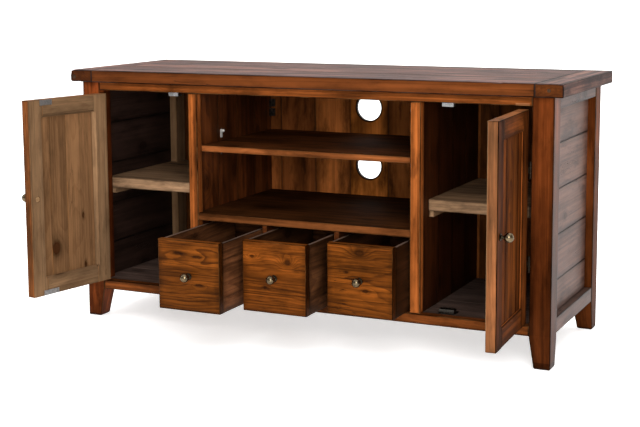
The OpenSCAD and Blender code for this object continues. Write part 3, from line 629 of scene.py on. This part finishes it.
def board_parts(obj, to_closed, splits):
    """The node's triangles as one list for each board. Boards that touch are told apart by where they are."""
    me = obj.data
    co = np.array([to_closed @ v.co for v in me.vertices], float).reshape(-1, 3)
    tris = [list(p.vertices) for p in me.polygons]
    if splits:
        axis, places = splits
        groups = {}
        for t in tris:
            p = co[t]
            n = np.cross(p[1] - p[0], p[2] - p[0])
            length = np.linalg.norm(n)
            if length < 1e-14:
                continue
            inside = p.mean(0)[axis] - n[axis] / length * 2e-4
            groups.setdefault(int(np.searchsorted(places, inside)), []).append(t)
        return co, [groups[k] for k in sorted(groups)]
    keys = np.round(co, 5)
    ids, index = {}, []
    for k in map(tuple, keys):
        index.append(ids.setdefault(k, len(ids)))
    root = list(range(len(ids)))

    def find(a):
        while root[a] != a:
            root[a] = root[root[a]]
            a = root[a]
        return a

    for t in tris:
        a = find(index[t[0]])
        for q in t[1:]:
            root[find(index[q])] = a
    groups = {}
    for t in tris:
        groups.setdefault(find(index[t[0]]), []).append(t)
    return co, [groups[k] for k in sorted(groups)]


def leg_section(z, x0, x1, y0, y1, inner_x, inner_y):
    """A leg's rectangle at a height; the two inner faces taper below the rails."""
    t = 0.013 * max(0.0, min(1.0, (0.080 - z) / 0.077))
    if inner_x > 0:
        x1 -= t
    else:
        x0 += t
    if inner_y > 0:
        y1 -= t
    else:
        y0 += t
    return (x0 + x1) / 2, (x1 - x0) / 2, (y0 + y1) / 2, (y1 - y0) / 2


def worn(
    node,
    body,
    grain,
    mat,
    slot,
    splits=None,
    closed=None,
    step=0.012,
    cross=0.020,
    wear=1.0,
    chips=(),
    raw=None,
    shade=None,
    leg=None,
    wave=1.0,
    seeds=None,
    meets=None,
):
    """Builds the worn piece that stands for a wooden CAD node: the same boards, their surface cut
    into a grid, their edges rubbed down unevenly, with dents and a slight unevenness, never outside
    the board's own box. Along the meets axis the boards touch their neighbours."""
    src = NODES[node]
    meets = splits[0] if splits else meets
    to_closed = closed or Matrix.Identity(4)
    back = to_closed.inverted()
    co, parts = board_parts(src, to_closed, splits)
    gu, gv, gw = AXES[grain]
    verts, faces = [], []
    wc, wh, ws, wr, wd = [], [], [], [], []
    for i, tris in enumerate(parts):
        bm = bmesh.new()
        made = {}
        for t in tris:
            ids = []
            for q in t:
                k = tuple(np.round(co[q], 5))
                if k not in made:
                    made[k] = bm.verts.new(co[q])
                ids.append(made[k])
            if len(set(ids)) == 3:
                try:
                    bm.faces.new(ids)
                except ValueError:
                    pass
        bm.normal_update()
        bmesh.ops.dissolve_limit(
            bm, angle_limit=math.radians(0.4), use_dissolve_boundaries=False, verts=bm.verts, edges=bm.edges
        )
        lo = np.array([p.co for p in bm.verts]).min(0)
        hi = np.array([p.co for p in bm.verts]).max(0)
        size = hi - lo
        gv, gw = AXES[grain][1:]
        if size[gv] < size[gw]:
            gv, gw = gw, gv
        seed = (seeds or {}).get(i, hash01(node, i))
        for k, (axis, gap) in enumerate(((gu, step), (gv, cross), (gw, cross))):
            ends = [0.0022, 0.0065] if size[axis] > 0.016 else ([0.0022] if size[axis] > 0.0055 else [])
            inner = size[axis] - 2 * (ends[-1] if ends else 0.0)
            count = max(1, int(round(inner / gap)))
            first = lo[axis] + (ends[-1] if ends else 0.0)
            places = [first + inner * (j + (0.0 if k else (hash01(node, i * 131 + j) - 0.5) * 0.25)) / count
                      for j in range(1, count)]
            places += [lo[axis] + q for q in ends] + [hi[axis] - q for q in ends]
            cut(bm, axis, places)
        mid, half = (lo + hi) / 2, size / 2
        base = len(verts)
        bm.verts.index_update()
        bm.normal_update()
        for p in bm.verts:
            c0 = np.array(p.co)
            m, h = mid.copy(), half.copy()
            if leg:
                m[0], h[0], m[1], h[1] = leg_section(c0[2], lo[0], hi[0], lo[1], hi[1], *leg)
            q = c0 - m
            d = h - np.abs(q)
            order = np.argsort(d)
            e = max(d[order[1]], 0.0)
            inward = np.zeros(3)
            here = Vector(c0) + Vector((seed * 9.1, seed * 5.3, seed * 7.7))
            if e < 0.0035:
                rub = 0.5 + 0.5 * noise.noise(here * 28.0)
                rub = wear * (0.00012 + 0.00085 * rub * rub * (0.5 + 0.5 * noise.noise(here * 120.0) + 0.35))
                f = (1.0 - e / 0.0035) * rub
                for ax in order[:2]:
                    inward[ax] -= math.copysign(f, q[ax])
            ax = order[0]
            if wave and d[ax] < 0.003:
                amount = wave * 0.00022 * (0.5 + 0.5 * noise.noise(here * 9.0))
                inward[ax] -= math.copysign(min(amount, h[ax] * 0.03), q[ax])
            for (cx, cy, cz, rad, deep) in chips:
                dist = math.dist(c0, (cx, cy, cz)) / rad
                if dist < 1.0:
                    pull = deep * (1 - dist * dist) ** 2 * (0.7 + 0.6 * noise.noise(here * 160.0))
                    for ax in order[:2]:
                        inward[ax] -= math.copysign(pull, q[ax])
            if meets is not None and d[meets] < 1e-4:  # boards stay shut where they meet
                if not splits or ((i < len(parts) - 1) if q[meets] > 0 else (i > 0)):
                    inward[meets] = 0.0
            new = Vector(c0 + inward)
            verts.append(back @ new)
            wc.append((q[gu], q[gv], q[gw]))
            wh.append((h[gu], h[gv], h[gw]))
            ws.append(seed)
        for fc in bm.faces:
            faces.append([base + p.index for p in fc.verts])
            n, cen = fc.normal, fc.calc_center_median()
            wr.append(float(raw(n, cen)) if raw else 0.0)
            wd.append(shade(n, cen) if shade else 1.0)
        bm.free()
    me = bpy.data.meshes.new(node + "_worn")
    me.from_pydata([tuple(p) for p in verts], [], faces)
    me.update()
    for key, kind, domain, data in (
        ("wc", "FLOAT_VECTOR", "POINT", wc),
        ("wh", "FLOAT_VECTOR", "POINT", wh),
        ("ws", "FLOAT", "POINT", ws),
        ("wr", "FLOAT", "FACE", wr),
        ("wd", "FLOAT", "FACE", wd),
    ):
        layer = me.attributes.new(key, kind, domain)
        flat = np.array(data, np.float32).ravel()
        layer.data.foreach_set("vector" if kind == "FLOAT_VECTOR" else "value", flat)
    for p in me.polygons:
        p.use_smooth = True
    me.set_sharp_from_angle(angle=math.radians(24))
    obj = bpy.data.objects.new(node + "_worn", me)
    scene.collection.objects.link(obj)
    me.materials.append(M[mat])
    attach(obj, body)
    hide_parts(node)
    return obj


def plain(value):
    return lambda n, c: value


# top
chips_r = (
    (0.700, -0.250, 0.700, 0.016, 0.0022),
    (0.668, -0.250, 0.667, 0.010, 0.0012),
    (0.640, -0.250, 0.700, 0.009, 0.0014),
    (0.700, -0.120, 0.700, 0.014, 0.0014),
    (0.700, 0.110, 0.700, 0.011, 0.0012),
)
chips_l = (
    (-0.700, -0.250, 0.700, 0.015, 0.0032),
    (-0.700, -0.250, 0.667, 0.010, 0.0016),
    (-0.676, -0.250, 0.667, 0.012, 0.0016),
    (-0.648, -0.250, 0.667, 0.010, 0.0014),
    (-0.700, 0.060, 0.700, 0.012, 0.0014),
)
chips_t = (
    (0.541, -0.250, 0.700, 0.013, 0.0026),
    (0.549, -0.250, 0.676, 0.008, 0.0014),
    (0.247, -0.250, 0.700, 0.008, 0.0012),
    (-0.131, -0.250, 0.700, 0.010, 0.0012),
    (-0.402, -0.250, 0.667, 0.010, 0.0012),
    (0.102, -0.250, 0.667, 0.009, 0.0010),
)


def front_of_top(n, c):
    return n.y < -0.5


def top_shade(n, c):
    if 0.6278 < abs(c.x) < 0.6322:
        return 0.15 if c.x > 0 else 0.45  # the open joints at the breadboards
    # painted light: the upper face lighter on the left, darker towards the right
    return max(0.90, 0.97 - 0.20 * c.x) if n.z > 0.5 else 1.0


TOP, SIDE, STAIN, DARK, RAW = (
    "weathered_pine_top",
    "weathered_pine_side",
    "stained_pine",
    "dark_pine",
    "unfinished_pine",
)
third = 0.5 / 3
worn("top_planks", "carcass", "x", "top", TOP, splits=(1, [-0.25 + third, -0.25 + 2 * third]), step=0.009,
     cross=0.024, chips=chips_t, wear=0.5, wave=0.3, raw=front_of_top, shade=top_shade)
worn("breadboard_left", "carcass", "y", "top", TOP, step=0.009, cross=0.010, chips=chips_l, wear=0.5, wave=0.3,
     raw=front_of_top, shade=lambda n, c: (0.35 if c.x < -0.69 else 0.6) if n.y < -0.5 else top_shade(n, c))
worn("breadboard_right", "carcass", "y", "top", TOP, step=0.009, cross=0.010, chips=chips_r, wear=0.5, wave=0.3,
     raw=front_of_top, shade=lambda n, c: 0.75 if n.y < -0.5 else top_shade(n, c))
worn("top_pegs", "carcass", "y", "raw", DARK, wear=0.3, step=0.02, shade=plain(0.22))


# legs and rails
def leg_shade(front, inner, beside=None, outer=0.80):
    def f(n, c):
        # painted light and shade: each leg's tone set for how it is lit, darker towards the floor with a lighter foot,
        # outer faces darker, the front-left leg's inner face beside the open door dark, and the last 12 mm darker still
        v = (0.35 + 1.39 * max(0.0, c.z - 0.19) + (0.06 if c.z < 0.08 else 0.0)) * front
        if inner * n.x < -0.5:
            v *= outer
        if beside is not None and inner * n.x > 0.5 and 0.10 < c.z < 0.635:
            return beside
        return v * (0.55 if c.z < 0.012 else 1.0)

    return f


def rear_leg_shade(front, inner):
    stained, bare = leg_shade(front, inner), rear_raw(inner)

    def f(n, c):
        if not bare(n, c):
            return stained(n, c)
        # painted light: the bare faces inside the cupboards lighter, the front one most
        return 1.75 if n.y < -0.5 else 1.15

    return f


def rear_raw(inner):
    return lambda n, c: (inner * n.x > 0.5 or (n.y < -0.5 and abs(c.x) < 0.641)) and c.z > 0.10


for node, inner, shade, raw in (
    ("leg_front_left", (1, 1), leg_shade(1.12, 1, 0.30), None),
    ("leg_front_right", (-1, 1), leg_shade(0.53, -1, outer=1.0), None),
    ("leg_rear_left", (1, -1), rear_leg_shade(0.62, 1), rear_raw(1)),
    ("leg_rear_right", (-1, -1), rear_leg_shade(0.62, -1), rear_raw(-1)),
):
    worn(node, "carcass", "z", "leg" if "front" in node else "leg_rear", STAIN, leg=inner, step=0.011, cross=0.015, wear=0.5, wave=0.4,
         shade=shade, raw=raw)
# a worn bare patch near the right end of the top rail, lightened further as a painted highlight
def worn_and_glinting_spot(n, c):
    return n.y < -0.5 and 0.578 < c.x < 0.612 and c.z < 0.6506


worn("front_top_rail", "carcass", "x", "stain", STAIN, wear=0.4, wave=0.3,
     raw=lambda n, c: 0.45 if worn_and_glinting_spot(n, c) else 0.0, shade=lambda n, c: 1.5 if worn_and_glinting_spot(n, c) else 1.0)
worn("front_bottom_rail", "carcass", "x", "stain", STAIN, wear=0.4, wave=0.3, shade=plain(0.70))
worn("back_top_rail", "carcass", "x", "dark", DARK)
# painted shade: the sides darker towards the floor, and their inner faces dark
worn("side_rails", "carcass", "y", "side", SIDE, wear=0.6, shade=lambda n, c: 0.76 if c.z < 0.3 else 0.88)
cuts = [0.084 + 0.115 * k for k in range(1, 5)]
worn("side_planks_left", "carcass", "y", "side", SIDE, splits=(2, cuts), wear=0.7,
     shade=lambda n, c: 0.16 if n.x > 0.3 else 0.68 + 0.30 * c.z)
worn("side_planks_right", "carcass", "y", "side", SIDE, splits=(2, cuts), wear=0.7,
     shade=lambda n, c: 0.30 if n.x < -0.3 else 0.68 + 0.30 * c.z)


# back: painted light in the media bays, lighter at the left and in the lower bay, and painted shade behind the doors;
# the outer face and the edges darker
def back_shade(n, c):
    if n.y > 0.5:
        return 0.27
    if n.y > -0.3:
        return 0.5
    if abs(c.x) > 0.335:
        return 0.25
    return (1.30 - 0.9 * (c.x + 0.30)) * (1.18 if c.z < 0.48 else 0.88)


cuts = sorted([-0.619 + 0.1124 * k for k in range(1, 5)] + [0.0] + [0.063 + 0.1112 * k for k in range(1, 5)])
worn("back_planks", "carcass", "z", "back_plain", DARK, splits=(0, cuts), cross=0.028, shade=back_shade)
# painted shade: the walls of the ports' bores near black
worn("back_plank_ported", "carcass", "z", "back", DARK, cross=0.028, meets=0,
     shade=lambda n, c: 0.04 if abs(n.y) < 0.3 and abs(c.x - 0.003) < 0.045 else back_shade(n, c))

# inside
cuts = [-0.204 + 0.106 * k for k in range(1, 4)]
# painted light and shade: the faces into the cupboards dark, the faces in the lower media bay lighter than in the upper
worn("partition_left", "carcass", "z", "dark", DARK, splits=(1, cuts), cross=0.028,
     shade=lambda n, c: 0.22 if n.x < -0.3 else (0.60 if c.z < 0.48 else 0.46))
worn("partition_right", "carcass", "z", "dark", DARK, splits=(1, cuts), cross=0.028,
     shade=lambda n, c: 0.22 if n.x > 0.3 else 0.46)
worn("partition_stiles", "carcass", "z", "stain", STAIN, cross=0.012, wear=0.6, wave=0.5, shade=plain(1.2))
cuts = [-0.204 + 0.424 / 3 * k for k in (1, 2)]
# painted light: the floor lighter on the left, darker towards the right
worn("floor_boards", "carcass", "x", "floor", SIDE, splits=(1, cuts), cross=0.030, step=0.02,
     shade=lambda n, c: 1.16 - 0.35 * c.x)
worn("floor_bearers", "carcass", "x", "raw", RAW, step=0.03)
# painted light and shade: the front edges lit, the upper faces in shade, the lower shelf's darker
worn("media_shelf_upper", "carcass", "x", "shelf", STAIN, cross=0.030, wear=0.25, wave=0.15,
     shade=lambda n, c: 0.47 if abs(n.z) > 0.6 else 1.28)
worn("media_shelf_lower", "carcass", "x", "shelf", STAIN, cross=0.030, wear=0.25, wave=0.15,
     shade=lambda n, c: 0.26 if abs(n.z) > 0.6 else 1.30)
cuts = [-0.172 + 0.391 / 3 * k for k in (1, 2)]
# painted light and shade: the upper faces darker than the edges, and the right shelf fading to near black in the hinge
# gap
worn("cupboard_shelf_left", "carcass", "x", "raw", RAW, splits=(1, cuts), cross=0.024, wear=0.8,
     shade=lambda n, c: 0.72 if n.z > 0.6 else 1.12)
worn("cupboard_shelf_right", "carcass", "x", "raw", RAW, splits=(1, cuts), cross=0.024, wear=0.8,
     shade=lambda n, c: (0.68 if n.z > 0.6 else 0.95) * max(0.12, min(1.0, (0.604 - c.x) / 0.030)))
worn("shelf_cleats", "carcass", "y", "raw", RAW)
# painted light and shade: the dividers' fronts lit, their other faces darker
worn("drawer_dividers", "carcass", "y", "dark", DARK, shade=lambda n, c: 1.1 if n.y < -0.5 else 0.5)
worn("drawer_guides", "carcass", "y", "raw", RAW, step=0.03, shade=plain(0.7))


# doors: bare wood inside, a worn free edge, and painted light and shade: darker outer faces, a painted sheen on the end
# faces, a painted highlight on the hinge-side bevel
def bare_and_sheen_stile(sign, edge):
    def f(n, c):
        # painted sheen: the end faces half bare wood, greyish as if lit from above
        if abs(n.z) > 0.5 and n.y < 0.3:
            return 0.45
        if n.y > 0.3:
            return 1.0
        if n.y < -0.3 or abs(c.x) > 0.61:
            return 0.0
        if abs(c.x) < 0.34:
            return edge
        return 0.0 if c.y < -0.215 else 1.0

    return f


def bare_and_sheen_rail(n, c):
    # painted sheen: the end faces half bare wood, greyish as if lit from above
    if abs(n.z) > 0.5 and n.y < 0.3 and (c.z < 0.12 or c.z > 0.63):
        return 0.45
    if n.y > 0.3:
        return 1.0
    return 0.0 if n.y < -0.3 or c.y < -0.215 else 1.0


for side_name, closed, sign, joints, outside, edge in (
    ("left", LEFT, -1, (0.077, 0.137), 0.45, 0.25),
    ("right", RIGHT, 1, (0.092, 0.196), 0.31, 0.40),
):
    body = "door_" + side_name

    def door_shade(n, c, outside=outside):
        # painted light and shade: outer faces darker, the free edge darker on the left door and lighter on the right
        if n.y < -0.3:
            return outside
        if abs(c.x) < 0.34 and abs(n.x) > 0.5:
            return 0.85 if outside > 0.4 else 1.08
        if 0.3 < n.y < 0.75 and abs(n.x) > 0.6 and abs(c.x) > 0.5:
            return 1.45  # painted highlight on the bevel on the hinge side
        return 1.0

    cuts = sorted(sign * (0.3365 + d) for d in joints)
    worn(body + "_stiles", body, "z", "door", STAIN, closed=closed, raw=bare_and_sheen_stile(sign, edge), cross=0.012,
         wear=0.6, wave=0.5, shade=door_shade)
    worn(body + "_rails", body, "x", "door", STAIN, closed=closed, raw=bare_and_sheen_rail, cross=0.012,
         wear=0.6, wave=0.5, shade=door_shade)
    worn(body + "_planks", body, "z", "plank", STAIN, splits=(0, cuts), closed=closed,
         raw=lambda n, c: n.y > 0.3, cross=0.016, wear=0.7, shade=door_shade,
         seeds={0: 0.13, 1: 0.29, 2: 0.61} if sign < 0 else None)

# drawers
for side_name, number, sides, tone in (("left", 0.21, 0.98, 0.78), ("middle", 0.47, 0.50, 1.02), ("right", 0.83, 0.11, 0.74)):
    body = "drawer_" + side_name
    # painted light and shade: each front lighter at the top and darker towards the bottom, its end faces near black
    worn(body + "_front", body, "x", "drawer", STAIN, step=0.009, cross=0.012, wear=0.8, wave=0.5,
         seeds={0: number}, shade=lambda n, c, tone=tone: 0.20 if abs(n.x) > 0.5 else tone * (0.52 + 5.4 * (c.z - 0.107)))
    # painted shade on the drawer sides: the middle one darker, the right one near black at its front end where it lies
    # in shade; the bare top edges paler as a painted highlight
    worn(body + "_sides", body, "y", "box", DARK, step=0.014, raw=lambda n, c: n.z > 0.7,
         shade=lambda n, c, sides=sides: 1.0 if n.z > 0.7 else
         sides + max(0.0, 0.5 - sides) * max(0.0, min(1.0, (c.y + 0.30) / 0.22)))  # dark only at the front end
    worn(body + "_back", body, "x", "box", DARK, step=0.014, shade=plain(0.8))
    worn(body + "_bottom", body, "x", "raw", RAW, step=0.02, shade=plain(0.5))

# metal: the CAD nodes themselves, with their own materials
for name, obj in NODES.items():
    if obj.hide_render:
        continue
    kind = "brass" if "knob" in name else "hinge" if "hinge" in name else "iron" if "bracket" in name else "catch" if name == "catches" else "strike" if "strikes" in name else "pin"
    obj.data.materials.clear()
    obj.data.materials.append(M[kind])

# ---------------------------------------------------------------- stage and light
g = Tree("studio_floor")
n = g.t.nodes.new("ShaderNodeTexCoord").outputs["Object"]
g.put(g.bsdf.inputs["Base Color"], g.mix(g.noise(n, 3.0), (0.90, 0.90, 0.90), (0.94, 0.94, 0.94)))
g.bsdf.inputs["Roughness"].default_value = 0.8
g.bsdf.inputs["Specular IOR Level"].default_value = 0.1
g.bsdf.inputs["Emission Color"].default_value = (1.0, 1.0, 1.0, 1.0)
g.bsdf.inputs["Emission Strength"].default_value = 0.52
rows = [(y, 0.0) for y in (-9.0, -4.0, 0.0, 4.0)]
rows += [(4.0 + 3.0 * math.sin(math.radians(a)), 3.0 - 3.0 * math.cos(math.radians(a))) for a in range(10, 91, 10)]
rows += [(7.0, 9.0)]
pts, quads = [], []
for y, z in rows:
    pts += [(-14.0, y, z), (14.0, y, z)]
for i in range(len(rows) - 1):
    quads.append((2 * i, 2 * i + 1, 2 * i + 3, 2 * i + 2))
me = bpy.data.meshes.new("studio_floor")
me.from_pydata(pts, [], quads)
for p in me.polygons:
    p.use_smooth = True
floor = bpy.data.objects.new("studio_floor", me)
scene.collection.objects.link(floor)
me.materials.append(g.mat)

world = bpy.data.worlds.new("studio")
scene.world = world
world.use_nodes = True
world.node_tree.nodes["Background"].inputs[0].default_value = (1.0, 1.0, 1.0, 1.0)
world.node_tree.nodes["Background"].inputs[1].default_value = 0.42


def lamp(name, where, at, size, power, colour=(1, 1, 1)):
    data = bpy.data.lights.new(name, "AREA")
    data.shape, data.size, data.size_y = "RECTANGLE", size[0], size[1]
    data.energy, data.color = power, colour
    obj = bpy.data.objects.new(name, data)
    scene.collection.objects.link(obj)
    obj.location = where
    obj.rotation_mode = "QUATERNION"
    obj.rotation_quaternion = (Vector(at) - Vector(where)).to_track_quat("-Z", "Y")


lamp("key", (1.75, -3.0, 1.30), (0.0, 0.0, 0.45), (1.5, 1.4), 78.0)
lamp("high", (1.2, -2.8, 3.2), (0.0, 0.0, 0.35), (2.6, 2.0), 45.0)
lamp("fill", (-3.4, -1.6, 2.6), (0.0, 0.0, 0.35), (2.6, 2.6), 30.0)
lamp("backdrop", (0.0, 2.2, 4.6), (0.0, 6.0, 0.6), (8.0, 2.0), 420.0)
lamp("over", (0.0, 0.2, 4.2), (0.0, 0.0, 0.0), (6.0, 5.0), 115.0)

scene.view_settings.view_transform = "Standard"
scene.view_settings.look = "None"
scene.view_settings.exposure = 0.0
scene.view_settings.gamma = 1.0
